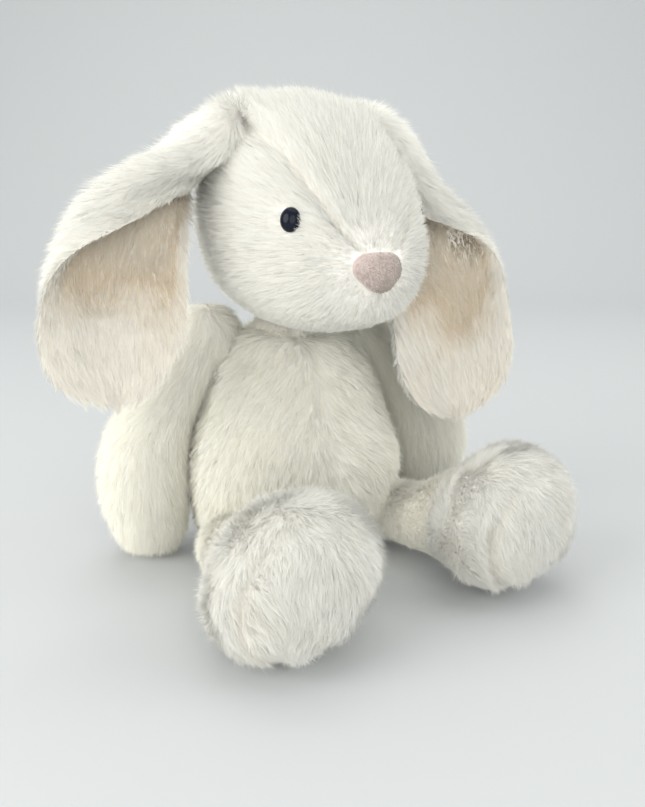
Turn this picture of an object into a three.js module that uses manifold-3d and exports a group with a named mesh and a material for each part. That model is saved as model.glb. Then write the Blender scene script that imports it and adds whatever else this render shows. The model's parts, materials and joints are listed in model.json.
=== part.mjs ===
// A stuffed lop-eared rabbit that sits upright with its legs out in front.
// Units are millimetres and +Z is up. The rabbit faces -Y, so its own right side is at -X.
// Every fabric cover is a thin shell with open seams, and the filling lies inside it.
// Shapes are laid out from the middle of the seat; the last step moves the finished toy so that
// its origin is the middle of its footprint, on the surface that it sits on.

import * as THREE from 'three';
import { mergeVertices } from 'three/addons/utils/BufferGeometryUtils.js';
import Module from 'manifold-3d';

// ---------------------------------------------------------------- driving dimensions

const PLUSH = 2.4; // thickness of the plush backing and the dense foot of its pile
const SLACK = 1.8; // room between a cover and the filling inside it
const SEAM = 0.6; // half the angle, in degrees, left open between two covers at a seam
const ENDS = 0.035; // share of a cover's length left open at each gathered end

const TORSO_HEIGHT = 103;
const TORSO_WIDTH = 96;
const TORSO_DEPTH = 86;
const SEAT_WIDTH = 66;
const SEAT_DEPTH = 56;

const HEAD_WIDTH = 87;
const HEAD_HEIGHT = 99;
const HEAD_CENTRE = new THREE.Vector3(0, -17, 160);
const HEAD_TURN = 10; // degrees that the head looks to the rabbit's left
const NECK = new THREE.Vector3(0, -3, 107);

const EYE_RADIUS = 4.9;
const EYE_DOME = 3.2;
const SHANK_RADIUS = 1.5;
const SHANK_LENGTH = 9;
const WASHER_RADIUS = 5.5;
const WASHER_THICKNESS = 1.2;

const NOSE_WIDTH = 20;
const NOSE_HEIGHT = 15.5;
const NOSE_THICKNESS = 1.6;
const NOSE_BEND = 45; // radius that the nose is bent to, round the end of the muzzle

const EAR_WIDTH = 60;
const EAR_ROOT_WIDTH = 24;
const EAR_CUP = 7; // how far the rims of an ear curl forward
const EAR_GAP = 1.1; // half the space between an ear's outside and its lining

const ARM_WIDTH = 38;
const ARM_SPLAY = { right: 0, left: 13 }; // degrees that each arm is held out from hanging
const SHOULDER = new THREE.Vector3(38.5, 9, 107);

const HIPS = { right: new THREE.Vector3(-42, -27, 17), left: new THREE.Vector3(44, -22, 17) };
const HIP_RADIUS = 12;
const HIP_CLEARANCE = 4.5; // room in the torso round the top of each leg
const LEG_LENGTHS = { right: 101, left: 92 }; // from the hip to the front of the sole, as bent
const FOOT_WIDTH = 62;
const FOOT_HEIGHT = 62;
const LEG_SPLAY = { right: 3, left: 14 }; // degrees outwards from straight ahead

const TAIL_RADIUS = 14;
const ARM_PLUG_RADIUS = 6.8; // loose ball of filling at the shoulder
const LEG_PLUG_RADIUS = 8.5; // and at the hip
const PLUG_ROOM = 4; // how far the limb's own filling stays from that ball

// ---------------------------------------------------------------- materials

const plush = new THREE.MeshStandardMaterial({ color: 0xf0ece4, roughness: 0.95, metalness: 0 });
const lining = new THREE.MeshStandardMaterial({ color: 0xe7dccb, roughness: 0.95, metalness: 0 });
const filling = new THREE.MeshStandardMaterial({ color: 0xf7f7f5, roughness: 1, metalness: 0 });
const beanCloth = new THREE.MeshStandardMaterial({ color: 0xdedbd2, roughness: 0.9, metalness: 0 });
const noseVelour = new THREE.MeshStandardMaterial({ color: 0xd2b3ac, roughness: 0.9, metalness: 0 });
const eyePlastic = new THREE.MeshStandardMaterial({ color: 0x0b0d12, roughness: 0.08, metalness: 0 });
const washerPlastic = new THREE.MeshStandardMaterial({ color: 0xe9e9e6, roughness: 0.5, metalness: 0 });

// ---------------------------------------------------------------- solids from simple classes

const X = new THREE.Vector3(1, 0, 0);
const Y = new THREE.Vector3(0, 1, 0);
const Z = new THREE.Vector3(0, 0, 1);
const radians = THREE.MathUtils.degToRad;

function welded(geometry) {
  geometry.deleteAttribute('normal');
  geometry.deleteAttribute('uv');
  return mergeVertices(geometry, 1e-4);
}

function volume(geometry) {
  const at = geometry.attributes.position;
  const corner = (k) => new THREE.Vector3().fromBufferAttribute(at, geometry.index.getX(k));
  let six = 0;
  for (let k = 0; k < geometry.index.count; k += 3) {
    six += corner(k).dot(corner(k + 1).cross(corner(k + 2)));
  }
  return six / 6;
}

// Welds the shared corners, drops the triangles that have closed up, and turns the faces outwards.
function closed(geometry) {
  const solid = welded(geometry);
  const index = [];
  const old = solid.index.array;
  for (let k = 0; k < old.length; k += 3) {
    const [a, b, c] = [old[k], old[k + 1], old[k + 2]];
    if (a !== b && b !== c && c !== a) index.push(a, b, c);
  }
  solid.setIndex(index);
  if (volume(solid) < 0) solid.setIndex(index.reverse());
  solid.computeVertexNormals();
  return solid;
}

function remapped(geometry, place) {
  const at = geometry.attributes.position;
  const uv = geometry.attributes.uv;
  const box = geometry.type === 'BoxGeometry';
  for (let i = 0; i < at.count; i += 1) {
    const given = box
      ? [at.getX(i) + 0.5, at.getY(i) + 0.5, at.getZ(i) + 0.5]
      : [uv.getX(i), uv.getY(i)];
    const p = place(...given);
    at.setXYZ(i, p.x, p.y, p.z);
  }
  return closed(geometry);
}

// Stations run from one end of a soft form to the other: [along, across, up, half width, half height].
// The first and last have no width, so the form closes on itself there.
function soft(frame, stations) {
  function loft(inset) {
    const last = stations.length - 1;
    const middles = [];
    const halves = [];
    stations.forEach(([along, across, up, wide, tall], k) => {
      const pull = k === 0 ? inset : k === last ? -inset : 0;
      const inward = k === 0 || k === last ? 0 : inset;
      const sign = Math.sign(stations[last][0] - stations[0][0]);
      middles.push(new THREE.Vector3(along + pull * sign, across, up));
      halves.push(new THREE.Vector3(wide - inward, tall - inward, 0));
    });
    const middle = new THREE.CatmullRomCurve3(middles, false, 'catmullrom');
    const half = new THREE.CatmullRomCurve3(halves, false, 'catmullrom');
    return (u, v) => {
      const m = middle.getPoint(v);
      const h = half.getPoint(v);
      const angle = 2 * Math.PI * u;
      return frame.origin
        .clone()
        .addScaledVector(frame.along, m.x)
        .addScaledVector(frame.across, m.y + Math.max(h.x, 0) * Math.cos(angle))
        .addScaledVector(frame.up, m.z + Math.max(h.y, 0) * Math.sin(angle));
    };
  }
  return loft;
}

// A solid ball of filling that follows a form, inset from its outside.
function ball(form, inset, around = 14, along = 10) {
  const surface = form(inset);
  return remapped(new THREE.SphereGeometry(1, around, along), (u, v) => surface(u, 1 - v));
}

// A curved sheet of plush: one panel between two seams, given as angles in degrees.
function panel(form, fromAngle, toAngle, around = 6, along = 12) {
  const outer = form(0);
  const inner = form(PLUSH);
  const from = (fromAngle + SEAM) / 360;
  const to = (toAngle - SEAM) / 360;
  return remapped(new THREE.BoxGeometry(1, 1, 1, around, along, 1), (x, y, z) => {
    const u = from + (to - from) * x;
    const v = ENDS + (1 - 2 * ENDS) * y;
    return outer(u, v).lerp(inner(u, v), 1 - z);
  });
}

// A sleeve of plush that goes all the way round a form, open at both ends.
function sleeve(form, fromShare, toShare, around = 14, along = 5) {
  const outer = form(0);
  const inner = form(PLUSH);
  const steps = 2 * along + 2;
  return remapped(new THREE.TorusGeometry(2, 1, steps, around), (u, w) => {
    const step = Math.round(w * steps) % steps;
    const outside = step <= along;
    const share = outside ? step / along : (steps - 1 - step) / along;
    const v = fromShare + (toShare - fromShare) * share;
    return outside ? outer(u, v) : inner(u, v);
  });
}

// A cap of plush over one end of a form.
function cap(form, toShare, around = 14, along = 4) {
  const outer = form(0);
  const inner = form(PLUSH);
  const rows = 2 * along + 1;
  return remapped(new THREE.SphereGeometry(1, around, rows), (u, w) => {
    const row = Math.round((1 - w) * rows);
    const outside = row <= along;
    const share = outside ? row / along : (rows - row) / along;
    return outside ? outer(u, toShare * share) : inner(u, toShare * share);
  });
}

const manifold = await Module();
manifold.setup();

function toManifold(geometry) {
  return new manifold.Manifold(
    new manifold.Mesh({
      numProp: 3,
      vertProperties: new Float32Array(geometry.attributes.position.array),
      triVerts: new Uint32Array(geometry.index.array),
    }),
  );
}

function fromManifold(solid) {
  const mesh = solid.getMesh();
  const result = new THREE.BufferGeometry();
  result.setAttribute('position', new THREE.BufferAttribute(mesh.vertProperties, 3));
  result.setIndex(new THREE.BufferAttribute(mesh.triVerts, 1));
  result.computeVertexNormals();
  return result;
}

function cut(geometry, tools) {
  let solid = toManifold(geometry);
  for (const tool of tools) solid = solid.subtract(toManifold(closed(tool.clone())));
  return fromManifold(solid);
}

// ---------------------------------------------------------------- the assembly

const rabbit = new THREE.Group();

function add(name, geometry, material) {
  const mesh = new THREE.Mesh(geometry, material);
  mesh.name = name;
  rabbit.add(mesh);
  return mesh;
}

// ---------------------------------------------------------------- torso, seat and tail

const upright = { origin: new THREE.Vector3(), along: Z, across: X, up: Y };

function buildTorso() {
  const w = TORSO_WIDTH / 2;
  const d = TORSO_DEPTH / 2;
  const h = TORSO_HEIGHT;
  const form = soft(upright, [
    [3, 0, 0, 0, 0],
    [4.5, 0, 0, 0.6 * w, 0.6 * d],
    [0.1 * h, 0, 0, 0.87 * w, 0.86 * d],
    [0.25 * h, 0, -1, 0.98 * w, 0.98 * d],
    [0.46 * h, 0, -3, w, d],
    [0.68 * h, 0, 0, 0.87 * w, 0.86 * d],
    [0.86 * h, 0, 2, 0.66 * w, 0.64 * d],
    [0.96 * h, 0, 2, 0.4 * w, 0.4 * d],
    [h, 0, 2, 0, 0],
  ]);
  const sockets = Object.values(HIPS).map((hip) => {
    const socket = new THREE.SphereGeometry(HIP_RADIUS + HIP_CLEARANCE, 14, 10);
    return socket.translate(...hip.toArray());
  });
  add('torso_front_right_panel', cut(panel(form, 180, 270, 5, 12), sockets), plush);
  add('torso_front_left_panel', cut(panel(form, 270, 360, 5, 12), sockets), plush);
  add('torso_back_panel', cut(panel(form, 0, 180, 9, 12), sockets), plush);

  const seat = new THREE.Shape();
  seat.absellipse(0, 0, SEAT_WIDTH / 2, SEAT_DEPTH / 2, 0, 2 * Math.PI);
  const seatPanel = new THREE.ExtrudeGeometry(seat, { depth: PLUSH, bevelEnabled: false, curveSegments: 16 });
  add('seat_panel', closed(seatPanel), plush);

  const filled = cut(ball(form, PLUSH + SLACK + 1.4, 16, 12), sockets);
  const beansTop = 0.3 * h;
  const above = slab(beansTop - SLACK / 2, TORSO_HEIGHT + 10);
  const below = slab(-10, beansTop + SLACK / 2);
  add('seat_bean_pouch', cut(filled, [above]), beanCloth);
  add('torso_stuffing', cut(filled, [below]), filling);
}

// A block wide enough to cut right through the torso between two heights.
function slab(from, to) {
  const block = new THREE.BoxGeometry(2 * TORSO_WIDTH, 2 * TORSO_DEPTH, to - from);
  return block.translate(0, 0, (from + to) / 2);
}

function buildTail() {
  const r = TAIL_RADIUS;
  const base = new THREE.Vector3(0, TORSO_DEPTH / 2 - 1.2, 19);
  const form = soft({ origin: base, along: Y, across: X, up: Z }, [
    [0, 0, 0, 0, 0],
    [0.2 * r, 0, 0, 0.7 * r, 0.7 * r],
    [r, 0, 0, r, r],
    [1.65 * r, 0, 0, 0.66 * r, 0.66 * r],
    [1.85 * r, 0, 0, 0, 0],
  ]);
  add('tail_cover', sleeve(form, 0.06, 0.94, 12), plush);
  add('tail_stuffing', ball(form, PLUSH + SLACK, 10, 8), filling);
}

// ---------------------------------------------------------------- head

function headFrame() {
  const turn = radians(HEAD_TURN);
  return {
    origin: HEAD_CENTRE,
    along: Y.clone().applyAxisAngle(Z, turn),
    across: X.clone().applyAxisAngle(Z, turn),
    up: Z,
  };
}

// Position and outward direction at a place on a form.
function onSurface(form, u, v) {
  const surface = form(0);
  const step = 0.01;
  const at = surface(u, v);
  const round = surface(u + step, v).sub(surface(u - step, v));
  const length = surface(u, v + step).sub(surface(u, v - step));
  return { at, out: length.cross(round).normalize() };
}

function buildHead() {
  const w = HEAD_WIDTH / 2;
  const h = HEAD_HEIGHT / 2;
  const form = soft(headFrame(), [
    [-56.5, 0, -21, 0, 0],
    [-52, 0, -20, 0.42 * w, 0.34 * h],
    [-43, 0, -14, 0.7 * w, 0.61 * h],
    [-25, 0, -5, 0.92 * w, 0.88 * h],
    [-4, 0, -0.5, w, h],
    [16, 0, 0, 0.97 * w, 0.96 * h],
    [32, 0, 0, 0.7 * w, 0.7 * h],
    [41, 0, 0, 0, 0],
  ]);

  const stuffed = ball(form, PLUSH + SLACK + 0.4, 16, 12);
  const sides = {
    right: panel(form, 135, 270, 7, 12),
    left: panel(form, -90, 45, 7, 12),
  };
  const stuffingCuts = [];
  for (const side of ['right', 'left']) {
    const u = side === 'right' ? 0.445 : 0.055;
    const { at, out } = onSurface(form, u, 0.33);
    const aim = new THREE.Quaternion().setFromUnitVectors(Y, out);
    const seated = (geometry, depth) => {
      geometry.applyQuaternion(aim);
      return geometry.translate(...at.clone().addScaledVector(out, -depth).toArray());
    };
    const r = EYE_RADIUS;
    const back = -(PLUSH + SLACK + SHANK_LENGTH - 6);
    const profile = [new THREE.Vector2(0, back), new THREE.Vector2(SHANK_RADIUS, back)];
    profile.push(new THREE.Vector2(SHANK_RADIUS, 1.2), new THREE.Vector2(0.85 * r, 1.2));
    for (let k = 0; k <= 6; k += 1) {
      const angle = (k / 6) * (Math.PI / 2);
      profile.push(new THREE.Vector2(r * Math.cos(angle), 1.8 + EYE_DOME * Math.sin(angle)));
    }
    profile[profile.length - 1].x = 0;
    add(`eye_${side}`, closed(seated(new THREE.LatheGeometry(profile, 14), 0)), eyePlastic);

    const washerDepth = PLUSH + SLACK + WASHER_THICKNESS / 2 + 0.2;
    const ring = new THREE.LatheGeometry(
      [
        new THREE.Vector2(SHANK_RADIUS + 0.3, -WASHER_THICKNESS / 2),
        new THREE.Vector2(WASHER_RADIUS, -WASHER_THICKNESS / 2),
        new THREE.Vector2(WASHER_RADIUS, WASHER_THICKNESS / 2),
        new THREE.Vector2(SHANK_RADIUS + 0.3, WASHER_THICKNESS / 2),
        new THREE.Vector2(SHANK_RADIUS + 0.3, -WASHER_THICKNESS / 2),
      ],
      12,
    );
    add(`eye_washer_${side}`, closed(seated(ring, washerDepth)), washerPlastic);

    const hole = seated(new THREE.CylinderGeometry(SHANK_RADIUS + 0.4, SHANK_RADIUS + 0.4, 12, 8), 0);
    const flat = seated(new THREE.CylinderGeometry(r + 0.6, r + 0.6, 8, 12), -4 - 0.9);
    const recess = seated(new THREE.CylinderGeometry(WASHER_RADIUS + 0.6, WASHER_RADIUS + 0.6, 9, 12), 4);
    sides[side] = cut(sides[side], [hole, flat]);
    stuffingCuts.push(recess);
  }
  add('head_right_panel', sides.right, plush);
  add('head_left_panel', sides.left, plush);
  add('head_gusset', panel(form, 45, 135, 5, 12), plush);
  add('head_stuffing', cut(stuffed, stuffingCuts), filling);
  buildNose();
}

// A small shield: straight across the top, narrowing to a round point below.
function buildNose() {
  const w = NOSE_WIDTH / 2;
  const h = NOSE_HEIGHT;
  const shield = new THREE.Shape();
  shield.moveTo(-0.62 * w, 0.5 * h);
  shield.lineTo(0.62 * w, 0.5 * h);
  shield.quadraticCurveTo(1.02 * w, 0.48 * h, w, 0.15 * h);
  shield.quadraticCurveTo(0.95 * w, -0.12 * h, 0.4 * w, -0.42 * h);
  shield.quadraticCurveTo(0, -0.62 * h, -0.4 * w, -0.42 * h);
  shield.quadraticCurveTo(-0.95 * w, -0.12 * h, -w, 0.15 * h);
  shield.quadraticCurveTo(-1.02 * w, 0.48 * h, -0.62 * w, 0.5 * h);
  const options = { depth: NOSE_THICKNESS, bevelEnabled: false, curveSegments: 5 };
  const geometry = new THREE.ExtrudeGeometry(shield, options);
  const corners = geometry.attributes.position;
  for (let i = 0; i < corners.count; i += 1) {
    const [x, y] = [corners.getX(i), corners.getY(i)];
    corners.setZ(i, corners.getZ(i) - (x * x + y * y) / (2 * NOSE_BEND));
  }
  const frame = headFrame();
  const lean = radians(12);
  geometry.rotateX(radians(90) - lean);
  geometry.rotateZ(radians(HEAD_TURN));
  const at = frame.origin
    .clone()
    .addScaledVector(frame.along, -57.8)
    .addScaledVector(frame.across, -1.5)
    .addScaledVector(frame.up, -21);
  add('nose', closed(geometry.translate(at.x, at.y, at.z)), noseVelour);
}

function buildNeck() {
  const form = soft({ origin: NECK, along: Z, across: X, up: Y }, [
    [-2.4, 0, 0, 0, 0],
    [-1.6, 0, 0, 8, 8],
    [0, 0, 0, 10, 10],
    [1.6, 0, 0, 8, 8],
    [2.4, 0, 0, 0, 0],
  ]);
  add('neck_stuffing', ball(form, 0, 12, 6), filling);
}

// ---------------------------------------------------------------- ears

const EAR_ROUTES = {
  right: [
    [-31, -14, 204.5],
    [-59, -15, 180],
    [-79, -19, 148],
    [-90, -25, 114],
    [-89, -32, 87],
  ],
  left: [
    [35, -16, 204],
    [56, -18, 183],
    [68, -24, 149],
    [74, -31, 108],
    [77, -34, 66],
  ],
};

function buildEar(side) {
  const route = new THREE.CatmullRomCurve3(EAR_ROUTES[side].map((p) => new THREE.Vector3(...p)));
  const outwards = side === 'right' ? -1 : 1;
  // Half the ear's width: gathered at the root, broad below the middle, round at the tip.
  const halfWidth = (t) => {
    const spread = THREE.MathUtils.smoothstep(t, 0.12, 0.72);
    const full = THREE.MathUtils.lerp(EAR_ROOT_WIDTH / 2, EAR_WIDTH / 2, spread);
    const tip = Math.max(0, (t - 0.76) / 0.24);
    return full * Math.sqrt(Math.max(1 - tip * tip, 0.02));
  };
  const place = (x, t, depth) => {
    const along = route.getTangentAt(t);
    const turned = THREE.MathUtils.smoothstep(t, 0.02, 0.5);
    const level = Y.clone().cross(along).normalize().multiplyScalar(-outwards);
    const across = Y.clone().multiplyScalar(turned - 1).addScaledVector(level, turned);
    across.addScaledVector(along, -across.dot(along)).normalize();
    const front = along.clone().cross(across).multiplyScalar(outwards).normalize();
    const s = 2 * x - 1;
    const curl = EAR_CUP * s * s * THREE.MathUtils.smoothstep(t, 0.1, 0.5);
    return route
      .getPointAt(t)
      .addScaledVector(across, s * halfWidth(t))
      .addScaledVector(front, curl + depth);
  };
  const layer = (from, to) => {
    const sheet = new THREE.BoxGeometry(1, 1, 1, 8, 16, 1);
    return remapped(sheet, (x, y, z) => place(x, y, from + (to - from) * z));
  };
  add(`ear_${side}_outer`, layer(-EAR_GAP - PLUSH, -EAR_GAP), plush);
  add(`ear_${side}_lining`, layer(EAR_GAP, EAR_GAP + PLUSH), lining);
}

// ---------------------------------------------------------------- arms

function buildArm(side) {
  const mirror = side === 'right' ? -1 : 1;
  const w = ARM_WIDTH / 2;
  const held = mirror * -radians(ARM_SPLAY[side]);
  const pivot = new THREE.Vector3(mirror * SHOULDER.x, SHOULDER.y, SHOULDER.z);
  const frame = {
    origin: new THREE.Vector3().sub(pivot).applyAxisAngle(Y, held).add(pivot),
    along: Z.clone().applyAxisAngle(Y, held),
    across: X.clone().multiplyScalar(mirror).applyAxisAngle(Y, held),
    up: Y,
  };
  const form = soft(frame, [
    [120, SHOULDER.x - 1, SHOULDER.y, 0, 0],
    [116, SHOULDER.x - 1, SHOULDER.y, 7.5, 8],
    [SHOULDER.z, SHOULDER.x, SHOULDER.y, 11.2, 12.5],
    [86, 52, 11, 0.74 * w, 0.76 * w],
    [62, 66, 13, 0.95 * w, 0.88 * w],
    [38, 70, 14, w, 0.92 * w],
    [16, 68, 14, 0.86 * w, 0.84 * w],
    [4.5, 67, 14, 0.5 * w, 0.5 * w],
    [1.2, 67, 14, 0, 0],
  ]);
  add(`arm_${side}_outer_panel`, panel(form, -90, 90, 5, 11), plush);
  add(`arm_${side}_inner_panel`, panel(form, 90, 270, 5, 11), plush);
  addLimbFilling(`arm_${side}_stuffing`, `arm_${side}_shoulder_stuffing`, form, pivot, ARM_PLUG_RADIUS);
}

// The limb's filling is scooped out at its top around a loose ball, where the limb flexes.
function addLimbFilling(name, plugName, form, pivot, plugRadius) {
  const plug = new THREE.SphereGeometry(plugRadius, 10, 7).translate(...pivot.toArray());
  const room = new THREE.SphereGeometry(plugRadius + PLUG_ROOM, 12, 8).translate(...pivot.toArray());
  const filled = cut(ball(form, PLUSH + SLACK, 12, 11), [room]);
  const pieces = toManifold(filled).decompose();
  pieces.sort((a, b) => b.volume() - a.volume());
  add(name, fromManifold(pieces[0]), filling);
  add(plugName, closed(plug), filling);
}

// ---------------------------------------------------------------- legs and feet

function legFrame(side) {
  const mirror = side === 'right' ? -1 : 1;
  const turn = mirror * radians(LEG_SPLAY[side]);
  const along = Y.clone().negate().applyAxisAngle(Z, turn);
  const across = X.clone().applyAxisAngle(Z, turn);
  return { origin: HIPS[side], along, across, up: Z };
}

// The leg widens all the way from the hip into a big round foot, whose sole faces forward.
function buildLeg(side) {
  const r = HIP_RADIUS;
  const l = LEG_LENGTHS[side];
  const w = FOOT_WIDTH / 2;
  const h = FOOT_HEIGHT / 2;
  const rise = h + 1 - HIPS[side].z; // the foot is fatter than the leg, so its middle is higher
  const form = soft(legFrame(side), [
    [l, 0, rise, 0, 0],
    [0.965 * l, 0, rise, 0.58 * w, 0.58 * h],
    [0.87 * l, 0, rise, 0.9 * w, 0.9 * h],
    [0.74 * l, 0, rise, w, h],
    [0.6 * l, 0, 0.93 * rise, 0.92 * w, 0.93 * h],
    [0.42 * l, 0, 0.6 * rise, 0.7 * w, 0.7 * h],
    [0.2 * l, 0, 0.15 * rise, 1.12 * r, 1.16 * r],
    [0, 0, 0, r, r],
    [-0.75 * r, 0, 0, 0.62 * r, 0.62 * r],
    [-r, 0, 0, 0, 0],
  ]);
  add(`foot_${side}_sole`, cap(form, 0.2), plush);
  add(`foot_${side}_upper`, sleeve(form, 0.205, 0.535, 14, 5), plush);
  add(`leg_${side}_cover`, sleeve(form, 0.54, 0.93, 14, 6), plush);
  addLimbFilling(`leg_${side}_stuffing`, `leg_${side}_hip_stuffing`, form, HIPS[side], LEG_PLUG_RADIUS);
}

// ---------------------------------------------------------------- putting it together

buildTorso();
buildTail();
buildNeck();
buildHead();
for (const side of ['right', 'left']) {
  buildEar(side);
  buildArm(side);
  buildLeg(side);
}

// Where the soft joints flex, before the toy is moved to its origin.
function pivots() {
  const points = { neck: NECK };
  for (const side of ['right', 'left']) {
    const mirror = side === 'right' ? -1 : 1;
    points[`ear_${side}`] = new THREE.Vector3(...EAR_ROUTES[side][0]);
    points[`arm_${side}`] = new THREE.Vector3(mirror * SHOULDER.x, SHOULDER.y, SHOULDER.z);
    points[`leg_${side}`] = HIPS[side];
  }
  return points;
}

const box = new THREE.Box3().setFromObject(rabbit);
const middle = box.getCenter(new THREE.Vector3());
rabbit.position.set(-middle.x, -middle.y, -box.min.z);
rabbit.userData.pivots = pivots();

export default rabbit;
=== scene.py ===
"""A stuffed lop-eared rabbit: padded covers under a pile of strands, a velour nose and domed eyes.

Lengths are in millimetres up to the point where a mesh is made, and the frame is the CAD's own.
Shapes are laid out from the middle of the seat, as in the CAD model, and SHIFT moves them into the frame.
"""

import json
import math

import bpy
import numpy as np
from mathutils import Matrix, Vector, kdtree


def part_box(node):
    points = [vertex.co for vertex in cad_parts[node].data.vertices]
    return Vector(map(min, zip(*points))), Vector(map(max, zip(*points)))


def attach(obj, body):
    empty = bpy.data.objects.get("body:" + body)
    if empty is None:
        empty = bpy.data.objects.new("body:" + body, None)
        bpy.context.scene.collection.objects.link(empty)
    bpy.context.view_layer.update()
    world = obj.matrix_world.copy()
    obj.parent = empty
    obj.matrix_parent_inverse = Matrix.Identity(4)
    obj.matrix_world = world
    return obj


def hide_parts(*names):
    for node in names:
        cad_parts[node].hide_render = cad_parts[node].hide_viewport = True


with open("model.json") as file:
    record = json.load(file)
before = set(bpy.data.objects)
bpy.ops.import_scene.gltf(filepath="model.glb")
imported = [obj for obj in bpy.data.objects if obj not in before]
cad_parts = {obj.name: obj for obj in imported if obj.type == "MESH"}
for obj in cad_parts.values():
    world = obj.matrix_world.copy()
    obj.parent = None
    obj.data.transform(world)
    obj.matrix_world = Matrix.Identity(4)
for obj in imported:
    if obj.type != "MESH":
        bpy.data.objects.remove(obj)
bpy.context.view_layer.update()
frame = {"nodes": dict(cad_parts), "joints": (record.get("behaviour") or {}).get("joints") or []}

MM = 0.001
rng = np.random.default_rng(11)
hinges = {j["name"]: np.array(j["pos_m"], float) * 1000 for j in frame["joints"]}
NECK = np.array([0.0, -3.0, 107.0])
SHIFT = hinges["head_turn"] - NECK

X = np.array([1.0, 0, 0])
Y = np.array([0, 1.0, 0])
Z = np.array([0, 0, 1.0])


# ------------------------------------------------------------------ small vector helpers


def unit(v):
    return v / np.maximum(np.linalg.norm(v, axis=-1, keepdims=True), 1e-9)


def dot(a, b):
    return np.sum(a * b, axis=-1, keepdims=True)


def flat_on(v, normal):
    """The part of v that lies in the surface."""
    return v - dot(v, normal) * normal


def about(v, axis, degrees):
    """v turned about an axis."""
    a = math.radians(degrees)
    axis = np.asarray(axis, float)
    return v * math.cos(a) + np.cross(axis, v) * math.sin(a) + axis * np.dot(v, axis) * (1 - math.cos(a))


def smooth(x, low, high):
    t = np.clip((x - low) / (high - low), 0, 1)
    return t * t * (3 - 2 * t)


def bell(x, middle, width):
    return np.exp(-(((x - middle) / width) ** 2))


def waves(points, size, seed):
    """A smooth random value from -1 to 1 at each point, that changes over about one size."""
    maker = np.random.default_rng(seed)
    total = np.zeros(len(points))
    for _ in range(7):
        direction = unit(maker.normal(size=3))
        rate = 2 * math.pi / (size * maker.uniform(1.4, 3.0))
        total += np.sin(points @ direction * rate + maker.uniform(0, 7))
    return np.clip(total / 3.2, -1, 1)


# ------------------------------------------------------------------ soft forms


def spline(knots, t):
    """A Catmull-Rom curve through the knots, at parameters from 0 to 1."""
    knots = np.asarray(knots, float)
    ends = np.vstack([2 * knots[0] - knots[1], knots, 2 * knots[-1] - knots[-2]])
    place = np.clip(t, 0, 1) * (len(knots) - 1)
    k = np.minimum(place.astype(int), len(knots) - 2)
    w = (place - k)[..., None]
    p0, p1, p2, p3 = (ends[k + i] for i in range(4))
    t0, t1 = 0.5 * (p2 - p0), 0.5 * (p3 - p1)
    return p1 + t0 * w + (3 * (p2 - p1) - 2 * t0 - t1) * w**2 + (2 * (p1 - p2) + t0 + t1) * w**3


class Surface:
    """A closed form as a grid: u runs round it, and v from one end to the other."""

    def __init__(self, at, around=128, along=96, dent=None):
        u = np.arange(around) / around
        v = np.linspace(0.002, 0.998, along)
        self.u, self.v = np.meshgrid(u, v, indexing="ij")
        self.points = at(self.u, self.v) + SHIFT
        self._measure()
        if dent is not None:
            depth = dent(self.u, self.v, self.points - SHIFT)
            self.points = self.points - depth[..., None] * self.normals
            self._measure()

    def _measure(self):
        p = self.points
        self.along_u = np.roll(p, -1, 0) - np.roll(p, 1, 0)
        self.along_v = np.gradient(p, axis=1)
        normal = unit(np.cross(self.along_u, self.along_v))
        middle = p.mean(0, keepdims=True)
        if np.mean(dot(normal, p - middle)) < 0:
            normal = -normal
        ring = unit(normal.mean(0, keepdims=True))
        for end in (0, -1):
            normal[:, end] = ring[:, end]
        self.normals = normal
        self.along_v = unit(self.along_v)

    def sample(self, count, weight=None):
        """Random places, evenly spread over the area: point, normal, direction of v, and u and v."""
        p = self.points
        nxt = np.roll(p, -1, 0)
        a, b, c, d = p[:, :-1], nxt[:, :-1], nxt[:, 1:], p[:, 1:]
        area = 0.5 * np.linalg.norm(np.cross(c - a, d - b), axis=-1)
        if weight is not None:
            area = area * weight(self.u[:, :-1], self.v[:, :-1])
        cell = rng.choice(area.size, count, p=area.ravel() / area.sum())
        i, j = np.unravel_index(cell, area.shape)
        s, t = rng.random((2, count))

        def mix(values):
            n = np.roll(values, -1, 0)
            low = values[i, j] * (1 - s)[:, None] + n[i, j] * s[:, None]
            high = values[i, j + 1] * (1 - s)[:, None] + n[i, j + 1] * s[:, None]
            return low * (1 - t)[:, None] + high * t[:, None]

        u = (self.u[i, j] + s / len(p)) % 1
        v = self.v[i, j] * (1 - t) + self.v[i, j + 1] * t
        return mix(p), unit(mix(self.normals)), unit(mix(self.along_v)), u, v


def form(origin, along, across, up, stations):
    """Stations run from one end to the other: along, across, up, half width, half height."""
    stations = np.asarray(stations, float)

    def at(u, v):
        s = spline(stations, v)
        wide = np.maximum(s[..., 3], 0.05) * np.cos(2 * math.pi * u)
        tall = np.maximum(s[..., 4], 0.05) * np.sin(2 * math.pi * u)
        return (
            origin
            + s[..., 0:1] * along
            + (s[..., 1] + wide)[..., None] * across
            + (s[..., 2] + tall)[..., None] * up
        )

    return at


# ------------------------------------------------------------------ materials


def node_material(name, colour, roughness, sheen=0.0, coat=0.0, specular=0.3):
    material = bpy.data.materials.new(name)
    material.use_nodes = True
    shader = material.node_tree.nodes["Principled BSDF"]
    shader.inputs["Base Color"].default_value = (*colour, 1)
    shader.inputs["Roughness"].default_value = roughness
    shader.inputs["Sheen Weight"].default_value = sheen
    shader.inputs["Coat Weight"].default_value = coat
    shader.inputs["Specular IOR Level"].default_value = specular
    return material, material.node_tree, shader


def fur_material(name, colour):
    """One tint of the pile. The variation within the fur comes from several tints and from its strands."""
    material, _, shader = node_material(name, colour, 0.75, sheen=0.1, specular=0)
    shader.inputs["Sheen Roughness"].default_value = 0.6
    return material


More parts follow.
